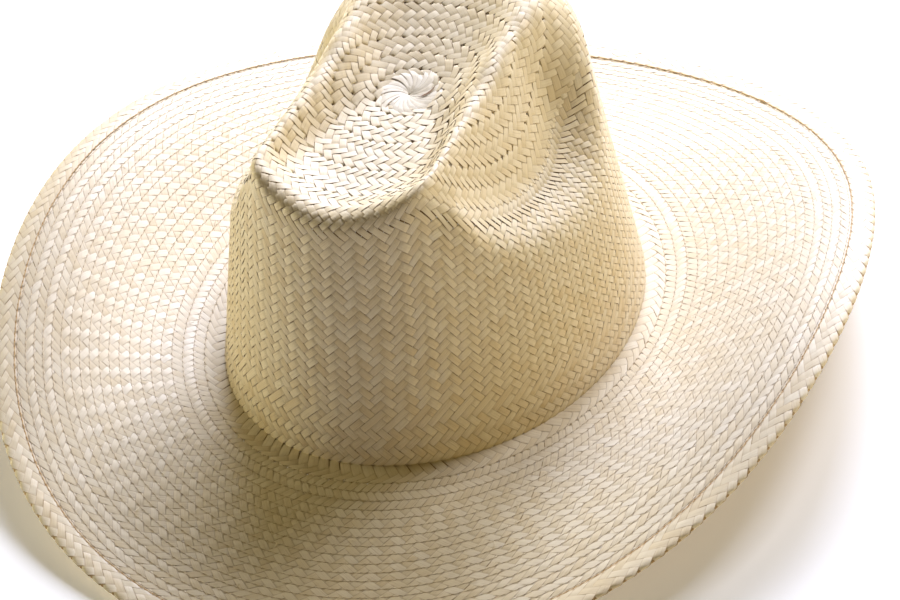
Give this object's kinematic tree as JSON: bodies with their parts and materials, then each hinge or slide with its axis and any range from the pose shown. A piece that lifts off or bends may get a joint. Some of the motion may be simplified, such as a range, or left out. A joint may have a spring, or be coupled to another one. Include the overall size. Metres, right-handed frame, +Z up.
{
  "type": "palm leaf hat",
  "caption": "Hand woven straw hat with a creased crown open below for the head and a wide brim that curls up at both sides, resting on its brim.",
  "frame": {"origin": "on the surface that the hat rests on, under the middle of the brim's length and width", "axes": "+Z up through the crown, -Y towards the front of the hat, +X to the wearer's left side"},
  "size_m": [0.336, 0.368, 0.1249],
  "materials": {
    "crown_straw": "woven palm leaf, satin",
    "brim_straw": "woven palm leaf, satin",
    "hem_straw": "folded and wrapped palm leaf, satin"
  },
  "bodies": {
    "root": {"crown": "crown_straw", "brim": "brim_straw", "brim_hem": "hem_straw"}
  },
  "joints": []
}
